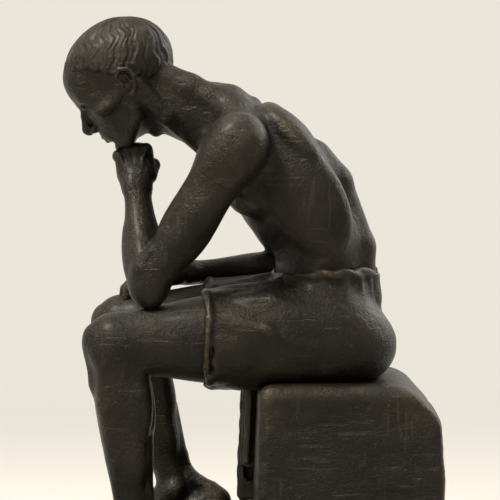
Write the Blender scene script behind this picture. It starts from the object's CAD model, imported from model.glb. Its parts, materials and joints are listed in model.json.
# %% [markdown]
# # A seated thinking figure in dark bronze
#
# The statue is a small hollow bronze, cast in sections: trunk, head, two arms, two legs, a cloth
# round the hips, and the rock it sits on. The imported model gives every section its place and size.
# This lesson dresses those sections: the figure is modelled as a sculptor builds it up, lump on
# lump of clay, and then cut into its castings along the same section planes.

# %% The fixed frame
import json
import math
import bpy
import mathutils
import numpy as np
import openvdb
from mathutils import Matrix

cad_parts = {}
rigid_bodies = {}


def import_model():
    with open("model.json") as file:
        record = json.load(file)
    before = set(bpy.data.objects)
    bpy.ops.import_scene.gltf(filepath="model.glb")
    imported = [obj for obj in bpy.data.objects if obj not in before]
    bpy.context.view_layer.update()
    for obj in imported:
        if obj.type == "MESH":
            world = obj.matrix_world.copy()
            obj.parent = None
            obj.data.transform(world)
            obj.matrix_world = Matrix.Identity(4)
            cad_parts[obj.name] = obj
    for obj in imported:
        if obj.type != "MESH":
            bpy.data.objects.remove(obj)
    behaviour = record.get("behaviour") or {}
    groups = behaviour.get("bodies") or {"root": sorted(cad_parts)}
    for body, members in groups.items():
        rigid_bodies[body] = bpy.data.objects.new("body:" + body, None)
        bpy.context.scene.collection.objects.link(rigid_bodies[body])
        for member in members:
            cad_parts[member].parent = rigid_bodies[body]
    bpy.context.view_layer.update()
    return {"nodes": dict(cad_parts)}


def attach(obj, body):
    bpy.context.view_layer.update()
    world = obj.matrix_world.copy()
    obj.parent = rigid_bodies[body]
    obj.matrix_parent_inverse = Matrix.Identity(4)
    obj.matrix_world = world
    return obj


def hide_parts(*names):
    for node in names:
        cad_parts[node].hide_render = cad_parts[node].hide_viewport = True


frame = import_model()
print("sections in the frame:", len(frame["nodes"]))

# %% [markdown]
# The bench sizes are written in millimetres, because a hand-sized bronze is easier to think about
# that way, and every mesh is brought to metres once, when it is made. The joint centres of the
# figure come first: each lump of clay is placed from them.

# %% Joint centres, in millimetres
MM = 0.001
LEFT = np.array((1.0, 0.0, 0.0))
BACK = np.array((0.0, 1.0, 0.0))
UP = np.array((0.0, 0.0, 1.0))
JOINTS = {
    "pelvis": (0.0, 35.0, 129.8), "waist": (0.0, 36.1, 160.8), "ribs": (0.0, 19.6, 189.4),
    "chest": (0.0, 1.9, 207.0), "collar": (0.0, -13.7, 217.9), "skull": (0.0, -54.5, 234.4),
    "hip": {1: (19.0, 35.0, 122.8), -1: (-19.0, 35.0, 122.8)},
    "knee": {1: (31.9, -57.0, 119.5), -1: (-33.5, -56.9, 122.8)},
    "ankle": {1: (31.9, -48.4, 37.0), -1: (-33.5, -31.2, 43.9)},
    "ball": {1: (35.9, -75.7, 25.4), -1: (-37.5, -54.5, 25.4)},
    "shoulder": {1: (40.0, -3.1, 207.0), -1: (-40.0, -3.1, 207.0)},
    "elbow": {1: (29.9, -42.3, 144.0), -1: (-55.0, 24.9, 147.0)},
    "wrist": {1: (7.7, -48.5, 189.1), -1: (-36.9, -27.5, 146.4)},
}
SLAB_TOP = 20.0
SEAT_TOP = 102.8


def at(name, side=0):
    """A joint centre as a vector. The sides are 1 for left and -1 for right."""
    place = JOINTS[name]
    return np.array(place[side] if side else place)


def unit(line):
    return line / np.linalg.norm(line)


def square_to(line, wanted):
    """The unit vector nearest to wanted that is square to line."""
    line = unit(line)
    return unit(wanted - line * wanted.dot(line))


def between(start, end, share):
    return start + (end - start) * share


def to_side(way, side):
    """The way or its opposite, whichever points to the given side."""
    return way if way[0] * side > 0 else -way


def along_way(x, y, z, place, way):
    """How far points lie from a place, counted along one way."""
    return (x - place[0]) * way[0] + (y - place[1]) * way[1] + (z - place[2]) * way[2]


print("joint centres:", len(JOINTS))

# %% [markdown]
# ## Clay
#
# Spheres joined and remeshed would lose every crease of a face or a hand, so the figure is made
# another way. Each lump of clay is a rule that gives the distance to its surface, less than
# nothing inside. Two lumps melt into each other over a soft width, which is what a thumb does to a
# real join. The sum is measured on a fine grid, and the grid is turned into a mesh where the
# distance is nothing.

# %% Lumps and the block of clay
FAR = 12.0
REACH = 9.0


def soft_join(first, second, soft):
    """The smaller of two distances, melted together over a soft width."""
    if soft <= 0:
        return np.minimum(first, second)
    near = np.maximum(soft - np.abs(first - second), 0.0) / soft
    return np.minimum(first, second) - near * near * near * (soft / 6.0)


class Lump:
    """One piece of clay, or with dig one stroke of the modelling tool."""

    def __init__(self, distance, low, high, soft, dig):
        self.distance = distance
        self.low = np.asarray(low) - REACH
        self.high = np.asarray(high) + REACH
        self.soft = soft
        self.dig = dig

    def press(self, field, x, y, z):
        value = self.distance(x, y, z)
        if self.dig:
            return -soft_join(-field, value, self.soft)
        return soft_join(field, value, self.soft)


def egg(centre, radii, ways=(LEFT, BACK, UP), soft=4.0, dig=False):
    """A rounded lump with three radii along three square ways."""
    centre = np.asarray(centre, float)
    radii = np.asarray(radii, float)
    ways = [unit(np.asarray(way, float)) for way in ways]

    def distance(x, y, z):
        shape, slope = 0.0, 0.0
        for way, radius in zip(ways, radii):
            along = along_way(x, y, z, centre, way)
            shape = shape + (along / radius) ** 2
            slope = slope + (along / (radius * radius)) ** 2
        shape = np.sqrt(shape)
        return shape * (shape - 1.0) / np.maximum(np.sqrt(slope), 1e-4)

    half = np.sqrt(sum((way * radius) ** 2 for way, radius in zip(ways, radii)))
    return Lump(distance, centre - half, centre + half, soft, dig)


def roll(points, radii, soft=2.0, dig=False, inner=0.6):
    """A roll of clay laid along points, or a groove drawn with a round tool."""
    points = [np.asarray(point, float) for point in points]
    if np.isscalar(radii):
        radii = [float(radii)] * len(points)

    def distance(x, y, z):
        whole = None
        for start, end, thick, thin in zip(points, points[1:], radii, radii[1:]):
            line = end - start
            reach = max(line.dot(line), 1e-6)
            dx, dy, dz = x - start[0], y - start[1], z - start[2]
            share = np.clip((dx * line[0] + dy * line[1] + dz * line[2]) / reach, 0.0, 1.0)
            dx, dy, dz = dx - share * line[0], dy - share * line[1], dz - share * line[2]
            part = np.sqrt(dx * dx + dy * dy + dz * dz) - (thick + (thin - thick) * share)
            whole = part if whole is None else soft_join(whole, part, inner)
        return whole

    thickest = max(radii)
    return Lump(distance, np.min(points, axis=0) - thickest, np.max(points, axis=0) + thickest, soft, dig)


def smooth_through(shares, values, samples):
    """Values between stations, on a curve with no kinks."""
    shares, values = np.asarray(shares, float), np.asarray(values, float)
    slopes = np.gradient(values, shares) if len(shares) > 2 else np.full(len(shares), 0.0)
    place = np.clip(np.searchsorted(shares, samples, side="right") - 1, 0, len(shares) - 2)
    span = shares[place + 1] - shares[place]
    t = (samples - shares[place]) / span
    return ((2 * t ** 3 - 3 * t ** 2 + 1) * values[place] + (t ** 3 - 2 * t ** 2 + t) * span * slopes[place]
            + (3 * t ** 2 - 2 * t ** 3) * values[place + 1] + (t ** 3 - t ** 2) * span * slopes[place + 1])


def limb(start, end, wide_way, stations, soft):
    """A limb between two joints. Stations are share, wide and narrow radius, and any shift aside."""
    line = unit(end - start)
    length = np.linalg.norm(end - start)
    wide_way = square_to(line, wide_way)
    narrow_way = np.cross(line, wide_way)
    shares, *columns = zip(*((*station, 0)[:4] for station in stations))
    samples = np.linspace(0.0, 1.0, 65)
    wide, narrow, aside = (smooth_through(shares, column, samples) for column in columns)

    def distance(x, y, z):
        dx, dy, dz = x - start[0], y - start[1], z - start[2]
        along = dx * line[0] + dy * line[1] + dz * line[2]
        share = np.clip(along / length, 0.0, 1.0)
        beyond = along - share * length
        w, n = np.interp(share, samples, wide), np.interp(share, samples, narrow)
        u = dx * wide_way[0] + dy * wide_way[1] + dz * wide_way[2] - np.interp(share, samples, aside)
        v = dx * narrow_way[0] + dy * narrow_way[1] + dz * narrow_way[2]
        tip = np.minimum(w, n)
        shape = np.sqrt((u / w) ** 2 + (v / n) ** 2 + (beyond / tip) ** 2)
        slope = np.sqrt((u / w ** 2) ** 2 + (v / n ** 2) ** 2 + (beyond / tip ** 2) ** 2)
        return shape * (shape - 1.0) / np.maximum(slope, 1e-4)

    most = max(wide.max(), narrow.max()) + np.abs(aside).max()
    return Lump(distance, np.minimum(start, end) - most, np.maximum(start, end) + most, soft, False)


def measure(lumps, x, y, z):
    """The distance of a whole group of lumps, on a grid's three axes or at single points."""
    field = np.full(np.broadcast(x, y, z).shape, FAR, np.float32)
    for lump in lumps:
        if field.ndim == 3:
            window, places = [], []
            for i, axis in enumerate((x, y, z)):
                first, last = np.searchsorted(axis.ravel(), (lump.low[i], lump.high[i]))
                window.append(slice(first, last))
                places.append(np.take(axis, range(first, last), axis=i))
            window = tuple(window)
            if min(part.size for part in places):
                field[window] = lump.press(field[window], *places)
        else:
            near = ((x > lump.low[0]) & (x < lump.high[0]) & (y > lump.low[1]) & (y < lump.high[1])
                    & (z > lump.low[2]) & (z < lump.high[2])).nonzero()[0]
            if near.size:
                field[near] = lump.press(field[near], x[near], y[near], z[near])
    return field


def block_of_clay(lumps, low, high, step, limits=()):
    """Presses lumps into a grid and returns the mesh of its surface: points and triangles."""
    low, high = np.asarray(low, float), np.asarray(high, float)
    x, y, z = ((low[i] + step * np.arange(int((high[i] - low[i]) / step) + 1)).astype(np.float32).reshape(
        [-1 if i == j else 1 for j in range(3)]) for i in range(3))
    field = measure(lumps, x, y, z)
    for limit in limits:
        field = np.maximum(field, limit(x, y, z))
    grid = openvdb.FloatGrid(FAR)
    grid.copyFromArray(field)
    points, triangles, quads = grid.convertToPolygons(0.0, 0.0)
    points = points.astype(float) * step + low
    quads = quads.astype(np.int64)
    halves = np.concatenate([quads[:, (0, 1, 2)], quads[:, (0, 2, 3)]])
    triangles = np.concatenate([triangles.astype(np.int64).reshape(-1, 3), halves])
    return points, triangles


print("clay is ready")

# %% [markdown]
# ## The trunk
#
# A bent back shows its build: the shoulder blades slide apart, the long muscles beside the spine
# stand as two ropes, and the flanks taper from the armpits to the waist. Big eggs give the masses,
# rolls give the muscles that run in a line, and the spine is one drawn groove between them.

# %% Lumps of the trunk
SIDES = (1, -1)
CHEST_LINE = unit(at("chest") - at("ribs"))
CHEST_REAR = square_to(CHEST_LINE, BACK)
BELLY_LINE = unit(at("ribs") - at("waist"))
BELLY_REAR = square_to(BELLY_LINE, BACK)
SPINE = [at("pelvis") + BACK * 23 - UP * 8, at("pelvis") + BACK * 23.5 + UP * 8, at("waist") + BACK * 20.5,
         at("ribs") + BELLY_REAR * 24.5 - BELLY_LINE * 10, at("ribs") + CHEST_REAR * 24.5,
         at("chest") + CHEST_REAR * 23 - CHEST_LINE * 3, at("collar") + CHEST_REAR * 18.5 - CHEST_LINE * 5]


def trunk_lumps():
    pelvis, waist, ribs, chest, collar = map(at, ("pelvis", "waist", "ribs", "chest", "collar"))
    ways, belly_ways = (LEFT, CHEST_REAR, CHEST_LINE), (LEFT, BELLY_REAR, BELLY_LINE)
    lumps = [egg(pelvis - UP * 9, (36, 23.5, 23)),
             egg(between(pelvis, waist, 0.62) - BACK * 2, (31, 20, 23), soft=9),
             egg(between(waist, ribs, 0.2) + BACK * 1, (30.5, 19.5, 24), belly_ways, soft=10),
             egg(ribs - CHEST_REAR * 1.5 - BELLY_LINE * 2, (35, 24.5, 31), belly_ways, soft=10),
             egg(chest - CHEST_REAR * 1.5 - CHEST_LINE * 5, (36, 21, 24), ways, soft=9),
             roll([at("shoulder", 1) - LEFT * 5, chest + CHEST_LINE * 3, at("shoulder", -1) + LEFT * 5],
                  (11.5, 13, 11.5), soft=9)]
    for side in SIDES:
        aside = LEFT * side
        lumps += [
            egg(between(ribs, chest, 0.42) - CHEST_REAR * 16.5 + aside * 16, (17, 8.5, 13.5),
                (unit(LEFT + CHEST_LINE * side * 0.25), CHEST_REAR, CHEST_LINE), soft=4),
            roll([between(ribs, chest, 0.4) - CHEST_REAR * 17 + aside * 20,
                  at("shoulder", side) - aside * 3 - UP * 4],
                 (7.5, 7), soft=5),
            egg(ribs - CHEST_LINE * 10 + CHEST_REAR * 1 + aside * 28.5, (8.5, 16, 28), belly_ways, soft=8),
            roll([SPINE[0] + aside * 8 - BACK * 6, SPINE[1] + aside * 8 - BACK * 6.5,
                  SPINE[2] + aside * 8 - BACK * 6,
                  SPINE[3] + aside * 8 - BELLY_REAR * 6, SPINE[4] + aside * 9 - CHEST_REAR * 6.5],
                 (6, 7, 7.5, 7, 5.5), soft=5, inner=4),
            egg(between(ribs, chest, 0.62) + CHEST_REAR * 15.5 + aside * 22, (12.5, 7.5, 17),
                (unit(LEFT + CHEST_LINE * side * 0.2), CHEST_REAR, CHEST_LINE), soft=5),
            roll([between(ribs, chest, 1.2) + CHEST_REAR * 16.5 + aside * 14.5,
                  between(ribs, chest, 0.5) + CHEST_REAR * 18.6 + aside * 15.5,
                  between(ribs, chest, -0.1) + CHEST_REAR * 17 + aside * 20.5], (2.2, 3.0, 1.8), soft=6,
                  inner=3),
            roll([between(ribs, chest, 1.1) + CHEST_REAR * 17.5 + aside * 14,
                  at("shoulder", side) + CHEST_REAR * 6 - aside * 4],
                 (2.2, 3.2), soft=6),
            roll([collar + CHEST_REAR * 9 + aside * 7, at("shoulder", side) - aside * 9 + UP * 4.5],
                 (8.5, 6.5), soft=7),
            roll([collar - CHEST_REAR * 11.5 - CHEST_LINE * 3 + aside * 4,
                  collar - CHEST_REAR * 9 - CHEST_LINE * 3 + aside * 16,
                  at("shoulder", side) - aside * 5 + UP * 4 - BACK * 5], (1.6, 1.5, 2.0), soft=5, inner=2),
        ]
        for share, depth in ((0.0, 2.6), (0.36, 3.0), (0.72, 2.6)):
            rib = ribs - BELLY_LINE * (2 + 13 * share) + aside * (31 - 3 * share)
            lumps.append(roll([rib + BELLY_REAR * 8 + UP * 1.5, rib - BELLY_REAR * 3,
                               rib - BELLY_REAR * 12 - UP * 3 - aside * 4],
                              (1.4, 1.9, 1.2), soft=depth + 1.2, inner=2))
    lumps.append(roll(SPINE, (2.2, 2.6, 3.0, 2.6, 2.4, 2.0, 1.6), soft=6.5, dig=True, inner=4))
    for share in (0.35, 0.8):
        bone = between(SPINE[5], SPINE[6], share)
        lumps.append(egg(bone - CHEST_REAR * 3.0, (3.0, 2.3, 2.8), soft=6))
    lumps.append(roll([between(ribs, chest, 0.9) - CHEST_REAR * 25,
                       between(ribs, chest, -0.1) - CHEST_REAR * 24.5],
                      (1.6, 1.8), soft=5, dig=True))
    for height, depth in ((0.15, 2.2), (0.55, 2.0), (0.95, 1.5)):
        middle = between(waist, ribs, height) + BACK * 1
        crease = [middle + LEFT * x - BELLY_REAR * (20.8 * math.sqrt(1 - (x / 33) ** 2))
                  - BELLY_LINE * (abs(x) / 9)
                  for x in range(-22, 23, 11)]
        lumps.append(roll(crease, [0.1, depth * 0.5, depth * 0.6, depth * 0.5, 0.1], soft=depth * 2.0,
                          dig=True, inner=3))
    return lumps


def neck_lumps():
    """The neck leans forward with the head, and its two long cords run from ear to breastbone."""
    collar, skull = at("collar"), at("skull")
    line = unit(skull - collar)
    rear = square_to(line, UP)
    lumps = [limb(collar - line * 3, skull, LEFT,
                  ((0, 17.5, 16.5), (0.3, 15.2, 15), (0.6, 14.2, 14.4), (1, 14, 14)), soft=7)]
    for side in SIDES:
        aside = LEFT * side
        lumps += [roll([skull - line * 6 + aside * 15.5 + rear * 1,
                        between(collar, skull, 0.45) + aside * 12.5 - rear * 7,
                        collar - line * 2 + aside * 4 - rear * 16], (4.2, 3.6, 2.4), soft=4, inner=3),
                  roll([skull - line * 10 + aside * 7 + rear * 10,
                        between(collar, skull, 0.35) + aside * 9 + rear * 8.5,
                        collar - line * 9 + aside * 14 + rear * 7], (5.5, 6.2, 6.5), soft=5, inner=4)]
    lumps.append(egg(between(collar, skull, 0.52) - rear * 13.5, (3.6, 3.2, 4.2), soft=4))
    lumps.append(roll([skull - line * 9 + rear * 14.5, between(collar, skull, 0.2) + rear * 15.5], 1.6,
                      soft=4, dig=True))
    return lumps


print("trunk lumps:", len(trunk_lumps()), "neck lumps:", len(neck_lumps()))

# %% [markdown]
# ## Arms
#
# The left arm stands on its elbow and carries the head on a loosely closed fist. The right arm hangs
# from the shoulder and lays its open hand over the knee. Both have the same build, so one rule
# makes the arm from its three joints, and two rules make the hands.

# %% Lumps of the arms and hands
FINGER_GAP = 4.15
FINGER_RADIUS = 2.55


def arm_ways(side):
    """Along the upper arm and forearm, to the bend's inside, and outwards."""
    upper = unit(at("elbow", side) - at("shoulder", side))
    fore = unit(at("wrist", side) - at("elbow", side))
    inside = square_to(upper, fore)
    return upper, fore, inside, to_side(unit(np.cross(upper, inside)), side)


def shoulder_lumps(side):
    """The three heads of the shoulder muscle, which the upper arm grows out of."""
    shoulder = at("shoulder", side)
    upper, _, inside, outward = arm_ways(side)
    ways = (outward, inside, upper)
    return [egg(shoulder + upper * 3, (12.6, 13.4, 16.5), ways, soft=7),
            egg(shoulder + upper * 6 + inside * 6 + outward * 2.5, (7.5, 7.5, 15), ways, soft=4),
            egg(shoulder + upper * 7 + outward * 5.5, (8, 8, 17), ways, soft=4),
            egg(shoulder + upper * 6 - inside * 6.5 + outward * 2, (7.5, 7.5, 16), ways, soft=4)]


def arm_lumps(side):
    shoulder, elbow, wrist = at("shoulder", side), at("elbow", side), at("wrist", side)
    upper, fore, inside, outward = arm_ways(side)
    fore_inside = square_to(fore, -upper)
    ways, fore_ways = (outward, inside, upper), (outward, fore_inside, fore)
    length = np.linalg.norm(elbow - shoulder)
    reach = np.linalg.norm(wrist - elbow)
    return [
        limb(shoulder, elbow, inside, ((0, 12.2, 11.6), (0.3, 11.6, 10.8), (0.55, 10.9, 10),
                                       (0.8, 8.8, 8.6), (1, 8.2, 8.0)), soft=6),
        egg(shoulder + upper * length * 0.55 + inside * 4.6, (7.6, 7.2, 19), ways, soft=4),
        egg(shoulder + upper * length * 0.44 - inside * 4.6 + outward * 2.4, (7.2, 7.4, 20), ways, soft=4),
        egg(shoulder + upper * length * 0.56 - inside * 4.4 - outward * 3, (6.6, 6.6, 20), ways, soft=4),
        egg(elbow - fore * 2.5 - inside * 2.2, (5.2, 5.2, 6), ways, soft=4),
        egg(elbow + outward * 5.6 - upper * 2, (3.6, 4.4, 5.5), ways, soft=4),
        egg(elbow - outward * 6 - upper * 2, (3.6, 4.4, 5), ways, soft=4),
        limb(elbow, wrist, fore_inside, ((0, 8.2, 8.4), (0.2, 9.0, 9.6), (0.45, 8.0, 8.6),
                                         (0.75, 6.0, 6.9), (1, 5.3, 6.7)), soft=4),
        roll([shoulder + upper * length * 0.8 + outward * 6.5 + inside * 2,
              elbow + fore * reach * 0.12 + outward * 6.2 + fore_inside * 3,
              elbow + fore * reach * 0.42 + outward * 4.2 + fore_inside * 2.4,
              wrist - fore * 8 + outward * 2], (3.2, 4.8, 4.0, 2.0),
             soft=3.5, inner=3),
        egg(elbow + fore * reach * 0.3 - outward * 3.6 + fore_inside * 1, (5.8, 6.2, 15), fore_ways, soft=4),
        egg(elbow + fore * reach * 0.32 + outward * 2.5 - fore_inside * 3.6, (5.2, 5.4, 17), fore_ways,
            soft=4),
        egg(wrist - fore * 3 + outward * 4.4, (2.6, 3, 4), fore_ways, soft=3),
        egg(wrist - fore * 3 - outward * 4.6, (2.4, 2.8, 3.6), fore_ways, soft=3),
        roll([shoulder + upper * length * 0.36 + outward * 11.8 + inside * 0.6,
              shoulder + upper * length * 0.6 + outward * 10.6,
              shoulder + upper * length * 0.84 + outward * 9.6 - inside * 0.6], (0.1, 1.1, 0.1), soft=4.5,
              dig=True, inner=2),
    ]


def fist_lumps():
    """The left hand, loosely closed under the chin."""
    wrist = at("wrist", 1)
    line = unit(np.array((-0.4376, -0.1221, 0.8908)))
    dorsal = square_to(line, LEFT)
    thumb = unit(np.cross(line, dorsal))
    ways = (thumb, dorsal, line)
    knuckles = wrist + line * 14.5
    lumps = [limb(wrist - line * 2, knuckles, thumb, ((0, 6.9, 5.6), (0.45, 8.4, 5.6, 0.4),
                                                      (1, 8.8, 5.2, 0.4)), soft=3),
             egg(wrist + line * 7 - dorsal * 3 + thumb * 3.6, (5, 4, 6.5), ways, soft=2.5),
             egg(wrist + line * 7 - dorsal * 3 - thumb * 4.4, (4, 3.6, 7), ways, soft=2.5)]
    for place in range(4):
        aside = thumb * ((1.5 - place) * FINGER_GAP)
        drop = (0.0, 0.3, -0.2, -1.4)[place]
        size = FINGER_RADIUS * (1.0, 1.04, 1.0, 0.88)[place]
        root = knuckles + aside + dorsal * 2.6 + line * drop
        bend = root - dorsal * 9.2 + line * 1.0
        tuck = bend - line * 7.2 + dorsal * 0.8
        tip = tuck + dorsal * 4.2 - line * 1.4
        lumps += [egg(root + dorsal * 0.5, (2.9, 3.0, 3.0), ways, soft=1.6),
                  roll([root, bend, tuck, tip], (size * 1.08, size * 1.02, size * 0.96, size * 0.84),
                       soft=0.9, inner=1.0),
                  roll([wrist + line * 4 + aside * 0.45 + dorsal * 4.6, root + dorsal * 2.2], (0.5, 0.8),
                       soft=1.8)]
    start = wrist + thumb * 6 + line * 3.4 - dorsal * 1
    lumps += [roll([start, start + line * 6.4 + thumb * 2.2 - dorsal * 3.4,
                    start + line * 9.2 - dorsal * 7.6 - thumb * 1.6,
                    start + line * 8.6 - dorsal * 9.8 - thumb * 6], (3.6, 3.1, 2.8, 2.5), soft=1.4,
                    inner=1.2)]
    return lumps


def open_hand_lumps():
    """The right hand, laid flat and easy over the knee."""
    wrist = at("wrist", -1)
    line = unit(np.array((0.052, -0.9931, -0.1045)))
    dorsal = square_to(line, UP)
    thumb = unit(np.cross(dorsal, line))
    ways = (thumb, dorsal, line)
    knuckles = wrist + line * 15
    lumps = [limb(wrist - line * 2, knuckles, thumb, ((0, 6.9, 5.3), (0.5, 8.5, 5.0), (1, 9.3, 4.3)), soft=3),
             egg(wrist + line * 7 + thumb * 5.4 - dorsal * 1.4, (4.2, 3.6, 7), ways, soft=2.5),
             egg(wrist + line * 8 - thumb * 6 - dorsal * 1, (3, 3.4, 7), ways, soft=2.5)]
    for place in range(4):
        aside = (1.5 - place) * FINGER_GAP
        spread = thumb * ((1.5 - place) * 0.9)
        size = FINGER_RADIUS * (1.0, 1.04, 1.0, 0.86)[place]
        length = (0.95, 1.04, 0.97, 0.78)[place]
        root = knuckles + thumb * aside - line * (0.4, 0.0, 0.6, 2.0)[place] + dorsal * 1.0
        bend = root + (line * 8.6 - dorsal * 1.2 + spread) * length
        low = bend + (line * 4.6 - dorsal * 4.0 + spread * 0.4) * length
        tip = low + (line * 1.6 - dorsal * 4.4) * length
        lumps += [egg(root + dorsal * 0.9, (2.9, 2.7, 3.2), ways, soft=1.8),
                  roll([root, bend, low, tip], (size * 1.05, size, size * 0.92, size * 0.8), soft=0.9,
                       inner=1.0),
                  egg(bend + dorsal * 0.6, (2.5, 2.3, 2.3), ways, soft=1.0),
                  roll([wrist + line * 3 + thumb * aside * 0.45 + dorsal * 4.0, root + dorsal * 2.2],
                       (0.5, 0.8), soft=1.8)]
    start = wrist + thumb * 6 + line * 3.6 - dorsal * 1
    lumps.append(roll([start, start + line * 6.4 + thumb * 4.2 - dorsal * 0.6,
                       start + line * 12.6 + thumb * 5.4 - dorsal * 2.4,
                       start + line * 16 + thumb * 4.6 - dorsal * 4.2], (3.6, 3.0, 2.8, 2.2), soft=1.6,
                       inner=1.2))
    return lumps


print("arm lumps:", len(arm_lumps(1)), "hand lumps:", len(fist_lumps()), len(open_hand_lumps()))

# %% [markdown]
# ## Legs and feet
#
# The knees are the sharpest forms on a seated figure. The kneecap sits on the front of the bend, its
# cord runs down to the shin, and the calf hangs behind the shin as two heads. The feet are a heel,
# an arch, an instep and five toes: the left sole is flat, the right heel is drawn back and raised.

# %% Lumps of the legs
def leg_ways(side):
    thigh = unit(at("knee", side) - at("hip", side))
    shin = unit(at("ankle", side) - at("knee", side))
    front = square_to(shin, -BACK)
    return thigh, shin, front, to_side(unit(np.cross(shin, front)), side)


def thigh_lumps(side):
    hip, knee = at("hip", side), at("knee", side)
    thigh, _, _, outward = leg_ways(side)
    over = square_to(thigh, UP)
    ways = (outward, thigh, over)
    return [limb(hip, knee, UP, ((0, 22, 21.5), (0.28, 21.4, 20.6), (0.55, 19, 18.2),
                                 (0.8, 15.6, 14.8), (1, 13.4, 12.6)), soft=7),
            egg(between(hip, knee, 0.68) - outward * 6 + over * 5.5, (7.5, 21, 7.5), ways, soft=5),
            egg(between(hip, knee, 0.56) + outward * 7.5 + over * 5.5, (8.5, 25, 8.5), ways, soft=5),
            egg(between(hip, knee, 0.5) + over * 8.5, (8, 29, 9.5), ways, soft=5),
            egg(between(hip, knee, 0.48) - over * 7.5, (12, 28, 11), ways, soft=6)]


def shin_lumps(side):
    knee, ankle = at("knee", side), at("ankle", side)
    thigh, shin, front, outward = leg_ways(side)
    over = square_to(thigh, UP)
    ways, knee_ways = (outward, front, shin), (outward, thigh, over)
    length = np.linalg.norm(ankle - knee)
    along = lambda share, forward, aside: knee + shin * (length * share) + front * forward + outward * aside
    return [
        egg(knee + thigh * 0.5 - over * 1.2, (12.4, 12.6, 12.2), knee_ways, soft=5),
        egg(knee + thigh * 10 + over * 1.2, (6.4, 4.2, 7.2), knee_ways, soft=2.6),
        egg(knee + thigh * 6 - over * 4 - outward * 7, (4.6, 5, 6), knee_ways, soft=4),
        egg(knee + thigh * 5 - over * 4 + outward * 7.4, (4.2, 5, 6), knee_ways, soft=4),
        roll([knee + thigh * 10.5 - over * 4.5, along(0.2, 10.6, -0.5)], (2.6, 2.4), soft=3),
        egg(along(0.21, 10.0, -0.5), (3.4, 2.6, 4.2), ways, soft=2.6),
        limb(knee, ankle, outward, ((0, 11.8, 12), (0.16, 11.6, 11.4), (0.36, 11, 11.4), (0.6, 8.8, 9.6),
                                    (0.84, 6.5, 7.4), (1, 6.3, 7.4)), soft=5),
        egg(along(0.34, -7.2, -4.4), (7.0, 7.4, 20), ways, soft=4),
        egg(along(0.3, -7.4, 4.6), (6.4, 6.8, 18), ways, soft=4),
        egg(along(0.56, -3.6, 4.2), (5.2, 5.8, 17), ways, soft=4),
        egg(along(0.58, -3.8, -4.4), (5.0, 5.8, 16), ways, soft=4),
        roll([along(0.1, 4.5, 7.2), along(0.32, 5.4, 6.2), along(0.62, 4.6, 4.2), along(0.9, 5.2, 0.5)],
             (3.4, 4.6, 3.4, 1.8),
             soft=4, inner=3),
        roll([along(0.24, 9.6, -0.8), along(0.5, 7.8, -1.6), along(0.8, 6.2, -2.0)], (1.6, 1.3, 1.2), soft=3,
             inner=2),
        roll([along(0.52, -9.2, 0), along(0.8, -7.6, 0), along(1.04, -8.2, 0), along(1.16, -8.6, 0)],
             (3.2, 2.2, 2.4, 3.4), soft=4, inner=3),
        roll([along(0.14, -10.5, 0.2), along(0.44, -14.2, 0.2)], (0.9, 0.9), soft=4, dig=True),
        roll([along(-0.02, -8.6, -7.2), along(0.16, -9.6, -6.4)], 2.0, soft=3.4),
        roll([along(-0.02, -8.6, 7.4), along(0.14, -9.6, 6.6)], 2.0, soft=3.4),
        egg(along(0.97, 0.8, -6.4), (2.9, 3.8, 4.4), ways, soft=2.6),
        egg(along(1.0, -1.6, 6.2), (2.7, 3.4, 4.6), ways, soft=2.6),
        roll([along(0.86, -6.0, 5.4), along(1.06, -5.4, 5.6)], 0.9, soft=3, dig=True),
        roll([along(0.86, -6.0, -5.4), along(1.06, -5.4, -5.6)], 0.9, soft=3, dig=True)]


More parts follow.
